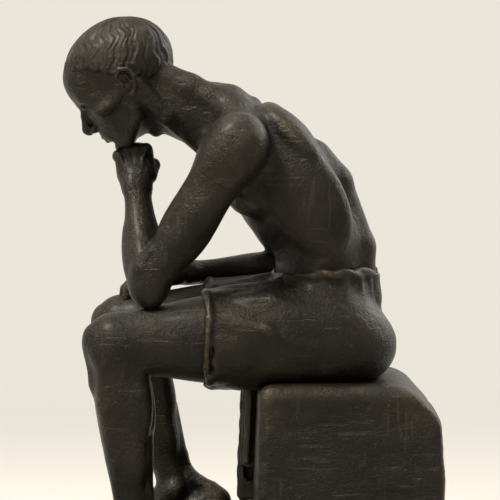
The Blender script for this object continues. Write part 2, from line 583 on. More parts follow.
def foot_lumps(side):
    ankle, ball = at("ankle", side), at("ball", side)
    ground = unit((ball - ankle) * (1, 1, 0))
    sole = unit(ball - ankle)
    down = square_to(sole, -UP)
    aside = to_side(unit(np.cross(UP, ground)), side)
    heel = ankle - sole * 11 + down * 13.6
    mid = between(heel, ball, 0.55)
    ways, flat_ways = (aside, sole, down), (aside, ground, UP)
    lumps = [
        egg(heel + down * 0.5, (6.8, 7.4, 8.4), ways, soft=4),
        roll([heel + sole * 4 + aside * 2.8 - down * 0.5, mid + aside * 4.6,
              ball + aside * 4.8 + down * 0.2], (6.0, 5.2, 4.9), soft=4, inner=3),
        roll([heel + sole * 5 - aside * 1.5 - down * 2.4, mid - aside * 2.5 - down * 3.8,
              ball - aside * 4.6], (5.8, 5.4, 5.3), soft=4, inner=3),
        limb(ankle - down * 2, between(ankle, ball, 0.8), aside, ((0, 7.6, 7.4), (0.4, 8.0, 7.2),
                                                                  (1, 8.6, 4.8)), soft=5),
        egg(between(ankle, ball, 0.45) - down * 1.6 - aside * 1.6, (4.6, 10, 4.6), ways, soft=4),
        roll([ankle - down * 3 - sole * 9.5, heel - down * 6 - sole * 2.5, heel - down * 0.5 - sole * 2.5],
             (3.2, 3.4, 5), soft=4, inner=2.5),
        egg(ball - aside * 6.2 + sole * 0.5 - down * 0.2, (4.4, 5.0, 4.6), flat_ways, soft=3),
        egg(ball + aside * 7.0 - ground * 3 + down * 0.4, (3.6, 5.0, 3.9), flat_ways, soft=3)]
    if side > 0:
        lumps.append(egg(np.array((ankle[0] + 0.4, ankle[1] - 3, 25.0)), (6.6, 11, 6.4), soft=5))
    for place in range(5):
        thick = (3.2, 2.25, 2.15, 2.05, 1.95)[place]
        across = (-5.8, -1.7, 1.4, 4.3, 7.0)[place]
        length = (13.6, 14.0, 12.8, 11.2, 9.0)[place]
        lift = (0.6, 1.9, 1.7, 1.3, 0.9)[place]
        root = ball + aside * across - ground * (0.4 * place)
        root = np.array((root[0], root[1], SLAB_TOP + thick + lift * 1.2))
        fan = unit(ground + aside * (0.03 * (place - 1.4)))
        bend = root + fan * (length * 0.52) + UP * lift * 0.4
        tip = root + fan * (length - thick * 0.4)
        tip[2] = SLAB_TOP + thick * 0.92
        lumps += [roll([root - fan * 4 + UP * 0.8, bend, tip], (thick * 1.02, thick * 0.9, thick), soft=1.4,
                       inner=1.2),
                  egg(tip + UP * 0.3 - fan * thick * 0.25, (thick * 0.92, thick * 1.16, thick * 0.82),
                      (aside, fan, UP), soft=0.8),
                  egg(tip + UP * thick * 0.7 + fan * thick * 0.12, (thick * 0.52, thick * 0.62, thick * 0.2),
                      (aside, fan, UP), soft=0.35),
                  roll([between(ankle, ball, 0.5) - down * 6.2 + aside * across * 0.5,
                        root - fan * 3 + UP * thick * 0.9], (0.5, 0.7), soft=2.4)]
    return lumps


print("leg lumps:", len(thigh_lumps(1)) + len(shin_lumps(1)) + len(foot_lumps(1)))

# %% [markdown]
# ## The head
#
# The head is a plain, calm one, laid out on the drawing-book rules: eyes on the middle line, the nose
# a third below, the mouth a third of the way on. Everything is counted in half-heads from the middle
# of the skull: aside, forward, and up. The hair is a close cap with a raised edge, combed from a
# whorl at the back of the crown.

# %% Lumps of the head
HALF_HEAD = 27.0
TILT = math.radians(35)
FACE = np.array((0.0, -math.cos(TILT), -math.sin(TILT)))
CROWN = np.array((0.0, -math.sin(TILT), math.cos(TILT)))
HEAD_WAYS = (LEFT, FACE, CROWN)


def on_head(aside, forward, up):
    return at("skull") + HALF_HEAD * (LEFT * aside + FACE * forward + CROWN * up)


def head_egg(place, radii, soft=3.0, dig=False):
    return egg(on_head(*place), [HALF_HEAD * radius for radius in radii], HEAD_WAYS, soft, dig)


def head_roll(places, radii, soft=1.5, dig=False, inner=0.5):
    radii = [radii] * len(places) if np.isscalar(radii) else radii
    return roll([on_head(*place) for place in places], [HALF_HEAD * radius for radius in radii], soft, dig,
                inner)


def hair_cap():
    """The cap of hair: the skull grown outwards, stopped at the hairline, and combed in locks."""
    skin = head_egg((0, -0.06, 0.24), (0.775, 0.955, 0.8))
    whorl = unit(CROWN * 0.75 - FACE * 0.66)
    first = square_to(whorl, LEFT)
    second = np.cross(whorl, first)
    middle = on_head(0, -0.06, 0.2)
    start = on_head(0, 0.3, 0.3)
    line = unit(CROWN - FACE * 0.75)

    def distance(x, y, z):
        u, v, w = (along_way(x, y, z, middle, way) for way in (first, second, whorl))
        angle = np.arctan2(v, u)
        away = np.arctan2(np.sqrt(u * u + v * v), w)
        swirl = (angle + 0.5 * np.exp(-away * 2.2) + 0.1 * np.sin(away * 5 + angle * 3)
                 + 0.04 * np.sin(away * 13 + angle * 7))
        locks = np.sin(swirl * 17 + 1.3 * np.sin(away * 3.1 + angle * 2)) * 0.5
        strands = np.sin(swirl * 43 + 1.8 * np.sin(away * 6.3 + angle * 4 + 1)) * 0.32
        fade = np.clip(away * 3.2, 0, 1)
        edge = (start[0] - x) * line[0] + (start[1] - y) * line[1] + (start[2] - z) * line[2]
        temple = np.maximum(np.abs(x) / HALF_HEAD - 0.36, 0)
        front = np.clip((-(y - middle[1]) / HALF_HEAD - 0.05) * 2, 0, 1)
        edge = edge + 5.2 * temple * front * 2 + 0.5 * np.sin(swirl * 17) + 0.6
        cap = skin.distance(x, y, z) - (locks + strands) * 0.42 * fade
        return -soft_join(-cap, -edge, 1.6)

    return Lump(distance, skin.low + REACH, skin.high - REACH, 0.5, False)


def head_lumps():
    lumps = [head_egg((0, -0.06, 0.24), (0.735, 0.915, 0.755), 4),
             head_egg((0, 0.33, -0.22), (0.56, 0.5, 0.62), 6),
             head_egg((0, 0.2, -0.5), (0.48, 0.52, 0.4), 5),
             head_egg((0, 0.5, 0.36), (0.5, 0.34, 0.4), 6),
             head_egg((0, 0.58, -0.83), (0.2, 0.17, 0.14), 4),
             head_egg((0, 0.66, -0.56), (0.27, 0.16, 0.17), 4),
             head_egg((0, 0.76, 0.1), (0.13, 0.08, 0.08), 3)]
    for side in SIDES:
        lumps += [
            head_roll(((side * 0.5, 0.5, 0.06), (side * 0.34, 0.69, 0.15), (side * 0.13, 0.765, 0.1)),
                      (0.06, 0.075, 0.07), 2.8, inner=2),
            head_egg((side * 0.46, 0.46, -0.2), (0.14, 0.22, 0.11), 4),
            head_roll(((side * 0.44, 0.46, -0.2), (side * 0.56, 0.2, -0.14), (side * 0.62, 0.0, -0.1)),
                      (0.07, 0.05, 0.04), 6, inner=2),
            head_egg((side * 0.27, 0.84, -0.03), (0.16, 0.14, 0.105), 3.2, dig=True),
            head_egg((side * 0.68, 0.4, 0.14), (0.1, 0.24, 0.2), 8, dig=True),
            head_egg((side * 0.6, 0.46, -0.5), (0.12, 0.26, 0.16), 6, dig=True),
            head_egg((side * 0.265, 0.625, -0.035), (0.135, 0.135, 0.125), 0.6),
            head_roll(((side * 0.135, 0.735, -0.07), (side * 0.19, 0.775, -0.015),
                       (side * 0.28, 0.772, -0.005), (side * 0.38, 0.69, -0.05),
                       (side * 0.42, 0.63, -0.08)), (0.022, 0.034, 0.036, 0.03, 0.02), 0.8, inner=0.6),
            head_roll(((side * 0.135, 0.733, -0.075), (side * 0.2, 0.755, -0.115), (side * 0.3, 0.74, -0.12),
                       (side * 0.39, 0.67, -0.085)),
                      (0.018, 0.026, 0.026, 0.02), 0.8, inner=0.6),
            head_egg((side * 0.095, 0.83, -0.375), (0.07, 0.095, 0.065), 1.4),
            head_egg((side * 0.06, 0.885, -0.445), (0.032, 0.05, 0.03), 0.8, dig=True),
            head_roll(((side * 0.55, 0.02, -0.36), (side * 0.47, 0.14, -0.62), (side * 0.2, 0.5, -0.87)),
                      (0.09, 0.1, 0.08), 5, inner=3),
            head_roll(((side * 0.735, 0.02, -0.02), (side * 0.76, 0.03, 0.1), (side * 0.79, -0.08, 0.17),
                       (side * 0.81, -0.2, 0.11),
                       (side * 0.8, -0.22, -0.04), (side * 0.77, -0.15, -0.19), (side * 0.74, -0.06, -0.27)),
                      (0.03, 0.036, 0.04, 0.042, 0.038, 0.036, 0.03), 0.7, inner=0.5),
            head_egg((side * 0.72, -0.1, -0.03), (0.06, 0.12, 0.19), 1.6),
            head_roll(((side * 0.775, -0.05, 0.08), (side * 0.785, -0.12, 0.02), (side * 0.775, -0.12, -0.1),
                       (side * 0.765, -0.06, -0.15)),
                      0.024, 0.6, inner=0.4),
            head_egg((side * 0.79, -0.045, -0.045), (0.05, 0.052, 0.075), 0.8, dig=True),
            head_egg((side * 0.755, 0.02, -0.06), (0.03, 0.025, 0.045), 0.7),
            head_egg((side * 0.745, -0.05, -0.265), (0.035, 0.055, 0.06), 0.8)]
    lumps += [
        head_roll(((0, 0.755, 0.07), (0, 0.85, -0.1), (0, 0.945, -0.3)), (0.058, 0.066, 0.088), 2.0,
                  inner=1.6),
        head_egg((0, 0.925, -0.355), (0.078, 0.075, 0.068), 1.4),
        head_roll(((0, 0.87, -0.44), (0, 0.83, -0.52)), (0.02, 0.028), 1.6, dig=True),
        head_roll(((-0.18, 0.7, -0.6), (-0.055, 0.79, -0.565), (0, 0.79, -0.578), (0.055, 0.79, -0.565),
                   (0.18, 0.7, -0.6)),
                  (0.016, 0.04, 0.036, 0.04, 0.016), 1.1, inner=0.5),
        head_roll(((-0.15, 0.705, -0.645), (-0.05, 0.765, -0.665), (0.05, 0.765, -0.665),
                   (0.15, 0.705, -0.645)),
                  (0.016, 0.046, 0.046, 0.016), 1.3, inner=0.5),
        head_roll(((-0.2, 0.7, -0.615), (-0.06, 0.835, -0.605), (0.06, 0.835, -0.605), (0.2, 0.7, -0.615)),
                  0.014, 0.8, dig=True),
        head_egg((0, 0.79, -0.745), (0.13, 0.075, 0.04), 3, dig=True),
        hair_cap()]
    return lumps


print("head lumps:", len(head_lumps()))

# %% [markdown]
# ## The cloth
#
# A length of cloth is wrapped round the hips and drawn over both thighs. Its upper edge is rolled
# round the waist, and its end hangs between the knees in five soft folds down the front of the
# rock. Tight folds run from where the cloth is pulled to where it is sat on.

# %% Lumps of the cloth
WAISTBAND = between(at("pelvis"), at("waist"), 0.62)
HEM = 0.57


def stop_at(lump, place, way, soft=1.2, wave=None):
    """A lump cut off beyond a plane, with a softened rim."""
    def distance(x, y, z):
        beyond = along_way(x, y, z, place, way)
        if wave is not None:
            beyond = beyond + wave(x, y, z)
        return -soft_join(-lump.distance(x, y, z), -beyond, soft)

    return Lump(distance, lump.low + REACH, lump.high - REACH, lump.soft, lump.dig)


def ring(centre, wide, deep, thick, turns, soft):
    """A twisted roll of cloth laid round an oval."""
    def distance(x, y, z):
        dx, dy, dz = x - centre[0], y - centre[1], z - centre[2]
        angle = np.arctan2(dy / deep, dx / wide)
        radius = np.sqrt((dx / wide) ** 2 + (dy / deep) ** 2)
        out = (radius - 1.0) * np.sqrt((wide * np.cos(angle)) ** 2 + (deep * np.sin(angle)) ** 2)
        dz = dz - 1.5 * np.sin(angle) * 0.8 - 0.5 * np.sin(3 * angle + 1)
        around = np.arctan2(dz, out)
        twist = np.sin(turns * angle + 2 * around) * 0.42 + np.sin(turns * 0.37 * angle + around + 1) * 0.3
        return np.sqrt(out * out + dz * dz) - thick - twist

    reach = np.array((wide, deep, 3.0)) + thick + 1
    return Lump(distance, centre - reach, centre + reach, soft, False)


def on_thigh(side, share, turn, rise=0.4):
    """A place on the cloth over a thigh. turn is in degrees: 0 outwards, 90 on top."""
    hip, knee = at("hip", side), at("knee", side)
    thigh, _, _, outward = leg_ways(side)
    over = square_to(thigh, UP)
    radius = float(np.interp(share, (0, 0.28, 0.55, 0.8), (24.2, 23.6, 21.4, 18))) + rise
    turn = math.radians(turn)
    return between(hip, knee, share) + outward * (radius * math.cos(turn)) + over * (radius * math.sin(turn))


def pleated(sleeve, hip, thigh, outward, seed):
    """Folds that run along the thigh and turn round it: round crests and sharp valleys."""
    over = square_to(thigh, UP)

    def distance(x, y, z):
        share = along_way(x, y, z, hip, thigh) / 93
        turn = np.arctan2(along_way(x, y, z, hip, over), along_way(x, y, z, hip, outward))
        bend = 0.7 * np.sin(share * 7 + seed)
        crest = np.abs(np.sin(turn * 2.5 + share * 3.4 + bend + 0.5 * np.sin(turn * 2 + seed))) - 0.7
        small = np.abs(np.sin(turn * 5.5 - share * 6.0 + seed + 0.8 * np.sin(share * 9 + turn))) - 0.7
        height = np.clip((share + 0.15) * 1.8, 0.15, 1.0)
        return sleeve.distance(x, y, z) - (crest * 1.9 + small * 0.7) * height

    return Lump(distance, sleeve.low + REACH - 1, sleeve.high - REACH + 1, sleeve.soft, False)


def skin_cover(thick):
    """The least the cloth can be: the body itself, grown by the cloth's thickness."""
    skin = trunk_lumps() + thigh_lumps(1) + thigh_lumps(-1)
    ends = {side: (between(at("hip", side), at("knee", side), HEM - 0.01), leg_ways(side)[0])
            for side in SIDES}

    def distance(x, y, z):
        past = [along_way(x, y, z, *end) for end in ends.values()]
        past = np.where(x > 0, past[0], past[1])
        return np.maximum(np.maximum(measure(skin, x, y, z) - thick, z - WAISTBAND[2]), past)

    return Lump(distance, (-48, -22, 100), (48, 62, 150), 1.5, False)


def cloth_lumps():
    pelvis = at("pelvis")
    lumps = [egg(pelvis - UP * 9, (39, 26.6, 26), soft=3),
             stop_at(egg(between(pelvis, at("waist"), 0.3) - BACK * 0.5, (35, 23.6, 27), soft=8), WAISTBAND,
                     UP, 2)]
    for side in SIDES:
        hip, knee = at("hip", side), at("knee", side)
        thigh, _, _, outward = leg_ways(side)
        seed = 3 if side > 0 else 5
        hem_wave = lambda x, y, z, seed=seed: (1.3 * np.sin(z * 0.21 + seed)
                                               + 0.8 * np.sin((x + z) * 0.43 + seed * 2))
        sleeve = limb(hip, knee, UP, ((0, 24.4, 24.0), (0.28, 23.8, 23.2), (0.55, 21.6, 20.9),
                                      (0.8, 18.4, 17.6), (1, 16, 15)), soft=8)
        lumps.append(stop_at(pleated(sleeve, hip, thigh, outward, seed), between(hip, knee, HEM), thigh, 1.4,
                             hem_wave))
        edge = [on_thigh(side, HEM - 0.016 + 0.012 * math.sin(turn / 21 + seed), turn, -0.6)
                for turn in range(-90, 271, 15)]
        lumps.append(roll(edge, 1.3, soft=3.6, inner=0.8))
        lumps.append(egg(between(hip, pelvis, 0.15) - UP * 6 + BACK * 7, (24.5, 25.5, 20), soft=8))
        pulls = ((0.5, 66, 0.24, 46, -0.04, 18, 2.2), (0.52, 30, 0.28, 12, 0.04, -14, 2.2),
                 (0.46, 112, 0.2, 92, -0.06, 60, 2.0))
        for s1, t1, s2, t2, s3, t3, thick in pulls:
            lumps.append(roll([on_thigh(side, s1, t1, -2.4), on_thigh(side, s2, t2, -0.9),
                               on_thigh(side, s3, t3, -2.6)],
                              (thick * 0.6, thick, thick * 0.6), soft=5.5, inner=4))
    lumps.append(stop_at(limb(at("pelvis") - BACK * 12 - UP * 6, np.array((0, -26.0, 120.0)), LEFT,
                              ((0, 26, 17), (0.5, 25, 15), (1, 25, 13.5)), soft=7), np.array((0, -19.0, 0)),
                              -BACK, 1.6,
                         lambda x, y, z: 0.9 * np.sin(x * 0.33 + 1)))
    for y, drop, thick in ((16, 2.5, 1.6), (8, 4.5, 1.9), (0, 6.5, 1.9), (-8, 7.5, 1.8), (-15.5, 8.0, 1.6)):
        line = [np.array((x, y + 2.5 * (x / 22.0) ** 2 - 1.5, 138.5 - drop * (1 - (x / 24.0) ** 2)))
                for x in range(-22, 23, 4)]
        lumps.append(roll(line, thick, soft=4, inner=1))
        lumps.append(roll([place - BACK * 4 + UP * 1.4 for place in line[1:-1]], thick * 0.7, soft=4,
                          dig=True, inner=1))
    for turn in (-62, -38, -14, 14, 38, 62, 90, -90):
        lean = math.radians(turn)
        start = pelvis + np.array((36.5 * math.sin(lean), 24.5 * math.cos(lean), -22.0))
        middle = pelvis + np.array((38 * math.sin(lean * 0.86), 25.5 * math.cos(lean * 0.86), -4.0))
        end = WAISTBAND + np.array((33.5 * math.sin(lean * 0.75), 22.3 * math.cos(lean * 0.75), -2.0))
        lumps.append(roll([start, middle, end], (2.4, 1.5, 0.7), soft=4.5, inner=3))
    lumps.append(skin_cover(1.7))
    lumps.append(ring(WAISTBAND, 32.6, 21.3, 2.2, 13, 1.8))
    return lumps + fold_lumps()


def fold_lumps():
    """The five folds that hang down the front of the rock, each a little crooked."""
    source = np.random.default_rng(8)
    lumps = []
    low_edge = lambda x, y, z: 1.6 * np.sin(x * 0.52) + 0.9 * np.sin(x * 0.21 + 2)
    for place, thick, drop in ((-1.0, 0.8, 0.5), (-0.5, 1.05, 0.62), (0.02, 0.85, 0.66), (0.48, 1.1, 0.7),
                               (0.98, 0.8, 0.56)):
        x, bottom = 17.0 * place, 116.6 - 96.6 * drop
        heights = np.linspace(119.0, bottom - 4, 6)
        line = [np.array((x * (1 - 0.05 * i) + source.uniform(-0.9, 0.9), 4.4 - 0.35 * i, height)) for i,
                height in enumerate(heights)]
        grow = np.linspace(0.78, 1.14, 6) * 5.4 * thick
        body = roll(line, list(grow), soft=2.2, inner=3)
        lumps.append(stop_at(body, np.array((0, 0, bottom)), -UP, 1.0, low_edge))
        for aside, rate in ((0.42, 0.5), (-0.36, 0.42)):
            crease = [spot + LEFT * (radius * aside) - BACK * (radius * 1.0) for spot,
                      radius in zip(line[1:], grow[1:])]
            lumps.append(roll(crease, [0.3] + [rate + 0.15 * i for i in range(len(crease) - 1)], soft=2.2,
                              dig=True, inner=1))
        lumps.append(egg(line[-1] + UP * 3.2 - BACK * 0.6, (grow[-1] * 0.62, grow[-1] * 0.6, 5.5), soft=0.8,
                         dig=True))
    sheet = limb(np.array((0, 3.6, 122.0)), np.array((0, 1.0, 62.0)), LEFT, ((0, 21, 5.0), (0.5, 20.5, 3.9),
                                                                             (1, 20, 3.2)), soft=3)
    lumps.insert(0, stop_at(sheet, np.array((0, 0, 66.0)), -UP, 1.0, low_edge))
    return lumps


print("cloth lumps:", len(cloth_lumps()))

# %% [markdown]
# ## From clay to castings
#
# The clay is cut along the section planes of the castings, so every section is its own closed
# object. The real joints are chased and patinated over, so neighbours lap by a hair and no gap
# shows. After meshing, each point is pushed onto the true surface, and a light unevenness is pressed
# in, as fingers leave it in wax.

# %% Section planes and the casting rule
SECTION_PLANES = {
    "neck": ((0.0, -25.9, 222.87), (0.0, -0.9272, 0.3746)),
    "shoulder": {1: ((37.57, -12.51, 191.91), (-0.1353, -0.5236, -0.8411)),
                 -1: ((-43.6, 3.62, 192.63), (-0.2209, 0.4124, -0.8838))},
    "hip": {1: ((22.36, 11.07, 121.95), (0.1391, -0.9897, -0.0349)),
            -1: ((-22.78, 11.12, 122.79), (-0.1564, -0.9877, 0.0))},
}
SEAM = -0.25
ROOT_REACH = 2.5
GRID_STEP = {"trunk": 0.78, "head": 0.4, "arm": 0.48, "leg": 0.58, "cloth": 0.78}


def beyond(plane):
    """How far a point lies past a section plane, towards the limb's far end."""
    return lambda x, y, z: along_way(x, y, z, *plane)


def keep_beyond(plane):
    past = beyond(plane)
    return lambda x, y, z: SEAM - past(x, y, z)


def keep_below(plane, groups):
    """Removes what is past the plane and near the limb itself."""
    past = beyond(plane)
    return lambda x, y, z: -np.maximum(-(past(x, y, z) + SEAM), measure(groups, x, y, z) - ROOT_REACH)


def keep_near(plane, groups):
    past = beyond(plane)
    return lambda x, y, z: np.maximum(SEAM - past(x, y, z), measure(groups, x, y, z) - ROOT_REACH)


def above(level):
    return lambda x, y, z: level - z


def uneven(points, seed, rate, depth):
    """Soft unevenness: a sum of slanted waves that never line up."""
    source = np.random.default_rng(seed)
    total = np.zeros(len(points))
    for _ in range(14):
        way = source.normal(size=3)
        way *= rate * source.uniform(0.6, 1.5) / np.linalg.norm(way)
        total += np.sin(points @ way + source.uniform(0, 6.28))
    return total * depth / 3.7


def biggest_body(points, triangles):
    """Keeps the largest closed body, because a section plane can cut small crumbs loose."""
    label = np.arange(len(points))
    while True:
        lowest = label[triangles].min(axis=1)
        after = label.copy()
        for corner in range(3):
            np.minimum.at(after, triangles[:, corner], lowest)
        after = after[after]
        if (after == label).all():
            break
        label = after
    kept_label = np.bincount(label[triangles[:, 0]]).argmax()
    triangles = triangles[label[triangles[:, 0]] == kept_label]
    used = np.unique(triangles)
    number = np.zeros(len(points), np.int64)
    number[used] = np.arange(len(used))
    if len(used) < len(points):
        print("crumbs left out:", len(points) - len(used), "points")
    return points[used], number[triangles]


def pick_only(piece):
    bpy.ops.object.select_all(action="DESELECT")
    piece.select_set(True)
    bpy.context.view_layer.objects.active = piece


def points_of(mesh):
    """The points of a mesh as rows, in metres."""
    rows = np.empty(len(mesh.vertices) * 3)
    mesh.vertices.foreach_get("co", rows)
    return rows.reshape(-1, 3)


def cast(name, lumps, low, high, step, limits, seed=11, depth=0.07):
    """Makes one casting as a smooth closed object, in metres."""
    points, triangles = biggest_body(*block_of_clay(lumps, low, high, step, limits))

    def value(spots):
        x, y, z = spots.T
        field = measure(lumps, x, y, z)
        for limit in limits:
            field = np.maximum(field, limit(x, y, z))
        return field

    nudge = 0.12
    corners = np.array(((1, -1, -1), (-1, -1, 1), (-1, 1, -1), (1, 1, 1))) * nudge
    for _ in range(2):
        samples = [value(points + corner) for corner in corners]
        slope = sum(sample[:, None] * corner for sample,
                    corner in zip(samples, corners)) / (4 * nudge * nudge)
        length = np.maximum(np.linalg.norm(slope, axis=1), 0.3)
        move = np.clip(sum(samples) / 4 / length, -0.5 * step, 0.5 * step)
        points = points - slope * (move / length)[:, None]
    normals = slope / length[:, None]
    points = points + normals * (uneven(points, seed, 0.22, depth) + uneven(points, seed + 50, 0.75,
                                                                            depth * 0.35))[:, None]
    mesh = bpy.data.meshes.new(name)
    mesh.from_pydata((points * MM).tolist(), [], triangles.tolist())
    mesh.validate()
    casting = bpy.data.objects.new(name, mesh)
    bpy.context.scene.collection.objects.link(casting)
    pick_only(casting)
    bpy.ops.object.mode_set(mode="EDIT")
    bpy.ops.mesh.select_all(action="SELECT")
    bpy.ops.mesh.normals_make_consistent(inside=False)
    bpy.ops.object.mode_set(mode="OBJECT")
    bpy.ops.object.shade_smooth()
    print(name, "points:", len(mesh.vertices), "faces:", len(mesh.polygons))
    return casting


def place_casting(casting, node):
    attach(casting, "root")
    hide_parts(node)


print("planes:", len(SECTION_PLANES))

# %% [markdown]
# The trunk is measured together with the roots of the limbs, so that it flows into them, and then
# everything past the section planes is taken away.

# %% The trunk casting
trunk = trunk_lumps() + neck_lumps() + shoulder_lumps(1) + shoulder_lumps(-1)
limb_groups = {side: arm_lumps(side) for side in SIDES}
LAP_REAR, LAP_TOP = 11.0, 150.0
whole_trunk = trunk + limb_groups[1] + limb_groups[-1] + thigh_lumps(1)[:1] + thigh_lumps(-1)[:1]
torso = cast("trunk_section", whole_trunk, (-60, -34, 101), (60, 64, 240), GRID_STEP["trunk"],
             [above(SEAT_TOP + SEAM), keep_below(SECTION_PLANES["shoulder"][1], limb_groups[1]),
              keep_below(SECTION_PLANES["shoulder"][-1], limb_groups[-1]),
              lambda x, y, z: along_way(x, y, z, *SECTION_PLANES["neck"]) + SEAM,
              lambda x, y, z: np.minimum(LAP_REAR - y, LAP_TOP - z)])
place_casting(torso, "torso_casting")

# %% The head casting
head = cast("head_section", trunk + head_lumps(), (-24, -84, 200), (24, -12, 266), GRID_STEP["head"],
            [keep_beyond(SECTION_PLANES["neck"])])
place_casting(head, "head_casting")

# %% The arm castings
left_arm = cast("left_arm", trunk + limb_groups[1] + fist_lumps(), (-12, -62, 133), (54, 2, 214),
                GRID_STEP["arm"],
                [keep_near(SECTION_PLANES["shoulder"][1], limb_groups[1] + fist_lumps())])
place_casting(left_arm, "left_arm_casting")
right_arm = cast("right_arm", trunk + limb_groups[-1] + open_hand_lumps(), (-68, -62, 130), (-18, 38, 206),
                 GRID_STEP["arm"],
                 [keep_near(SECTION_PLANES["shoulder"][-1], limb_groups[-1] + open_hand_lumps())])
place_casting(right_arm, "right_arm_casting")

# %% The leg castings
legs = []
for side, name in ((1, "left_leg"), (-1, "right_leg")):
    hip_x = sorted((0.5 * side, 49.0 * side))
    leg = cast(name, thigh_lumps(side) + shin_lumps(side) + foot_lumps(side), (hip_x[0], -92, 19),
               (hip_x[1], 24, 147), GRID_STEP["leg"],
               [keep_beyond(SECTION_PLANES["hip"][side]), above(SLAB_TOP)])
    place_casting(leg, "left_leg_casting" if side > 0 else "right_leg_casting")
    legs.append(leg)

# %% The cloth casting
body = trunk_lumps() + thigh_lumps(1) + thigh_lumps(-1)
SEAT_HALF, SEAT_FRONT, SEAT_LEAN = 52, 3.1, 4


def rock_body(x, y, z):
    """The seat block under the cloth: flat on top, with a front that leans back a little."""
    front = SEAT_FRONT + SEAT_LEAN * (z - SLAB_TOP) / (SEAT_TOP - SLAB_TOP)
    return np.maximum(np.maximum(z - SEAT_TOP, front - y), np.abs(x) - SEAT_HALF)


cloth = cast("hip_cloth", cloth_lumps(), (-52, -25, 46), (52, 67, 156), GRID_STEP["cloth"],
             [lambda x, y, z: 0.05 - rock_body(x, y, z), lambda x, y, z: 0.15 - measure(body, x, y, z)],
             seed=61, depth=0.1)
place_casting(cloth, "lap_cloth_casting")

# %% [markdown]
# ## The rock
#
# The rock is a thin plinth and a seat block cast in one. Its edges are worn round, its faces are
# nearly flat but never quite even, and it is pitted. It starts as a squared block and a plate, is
# bevelled, joined, and then pushed in here and there.

# %% The rock, roughed out
def clear_picks(*parts):
    for part in parts:
        for item in part:
            item.select = False


def pick_faces(test):
    """Selects the faces of the object in edit mode whose centre and normal pass a test."""
    bpy.ops.object.mode_set(mode="OBJECT")
    mesh = bpy.context.object.data
    chosen = 0
    clear_picks(mesh.vertices, mesh.edges)
    for face in mesh.polygons:
        face.select = bool(test(np.array(face.center) / MM, np.array(face.normal)))
        chosen += face.select
    bpy.ops.object.mode_set(mode="EDIT")
    return chosen


def block_at(name, low, high):
    """A squared block between two corners, left active and selected."""
    low, high = np.array(low) * MM, np.array(high) * MM
    bpy.ops.object.select_all(action="DESELECT")
    bpy.ops.mesh.primitive_cube_add(size=1, location=tuple((low + high) / 2), scale=tuple(high - low))
    block = bpy.context.object
    block.name = name
    bpy.ops.object.transform_apply(location=True, rotation=True, scale=True)
    return block


def finish_modifier(piece, kind, **settings):
    """Adds a modifier, sets it and applies it."""
    pick_only(piece)
    modifier = piece.modifiers.new(kind.lower(), kind)
    for key, value in settings.items():
        setattr(modifier, key, value)
    bpy.ops.object.modifier_apply(modifier=modifier.name)


def pick_edges(test):
    """Selects the edges whose two ends pass a test."""
    bpy.ops.object.mode_set(mode="OBJECT")
    mesh = bpy.context.object.data
    clear_picks(mesh.vertices, mesh.edges, mesh.polygons)
    for edge in mesh.edges:
        edge.select = bool(test(*(np.array(mesh.vertices[i].co) / MM for i in edge.vertices)))
    bpy.context.tool_settings.mesh_select_mode = (False, True, False)
    bpy.ops.object.mode_set(mode="EDIT")
    return sum(edge.select for edge in mesh.edges)


block_low, block_high = (-51.6, 2.1, 12.0), (51.6, 88.4, 102.7)
rock = block_at("rock_section", block_low, block_high)
bpy.ops.object.mode_set(mode="EDIT")
print("top faces:", pick_faces(lambda centre, normal: normal[2] > 0.9))
bpy.ops.transform.resize(value=(0.975, 0.96, 1), center_override=(0, block_high[1] * MM, block_high[2] * MM))
print("back top edges:", pick_edges(lambda start, end: min(start[1], end[1]) > 80 and min(start[2],
                                                                                          end[2]) > 95))
bpy.ops.mesh.bevel(offset=16 * MM, segments=1)
bpy.ops.object.mode_set(mode="OBJECT")
finish_modifier(rock, "BEVEL", width=6 * MM, segments=5, limit_method="ANGLE")

plinth = block_at("plinth", (-66.0, -99.0, 2.0), (66.0, 99.0, 20.1))
bpy.ops.object.mode_set(mode="EDIT")
print("corner edges:", pick_edges(lambda start, end: abs(start[2] - end[2]) > 5))
bpy.ops.mesh.bevel(offset=15 * MM, segments=3)
pick_faces(lambda centre, normal: normal[2] > 0.9)
bpy.ops.transform.resize(value=(0.965, 0.965, 1), center_override=(0, 0, SLAB_TOP * MM))
print("rim edges:", pick_edges(lambda start, end: min(start[2], end[2]) > 19))
bpy.ops.mesh.bevel(offset=3.4 * MM, segments=4)
bpy.ops.object.mode_set(mode="OBJECT")
bpy.ops.object.select_all(action="DESELECT")
plinth.select_set(True)
rock.select_set(True)
bpy.context.view_layer.objects.active = rock
bpy.ops.object.join()
print("rock roughed out:", len(rock.data.polygons), "faces")

# %% [markdown]
# A remesh gives the rock even clay-sized faces and melts the inner corner. Two displacements push
# its walls inwards, a broad one for dents and a fine one for chisel marks. They act only
# inwards, and not where the figure sits or stands, so every contact stays closed.

# %% The rock, worn
ROCK_STEP = 1.15
finish_modifier(rock, "REMESH", mode="VOXEL", voxel_size=ROCK_STEP * MM)
finish_modifier(rock, "SMOOTH", factor=0.6, iterations=6)


def clouds(name, size, depth):
    pattern = bpy.data.textures.new(name, "CLOUDS")
    pattern.noise_scale = size * MM
    pattern.noise_depth = depth
    return pattern


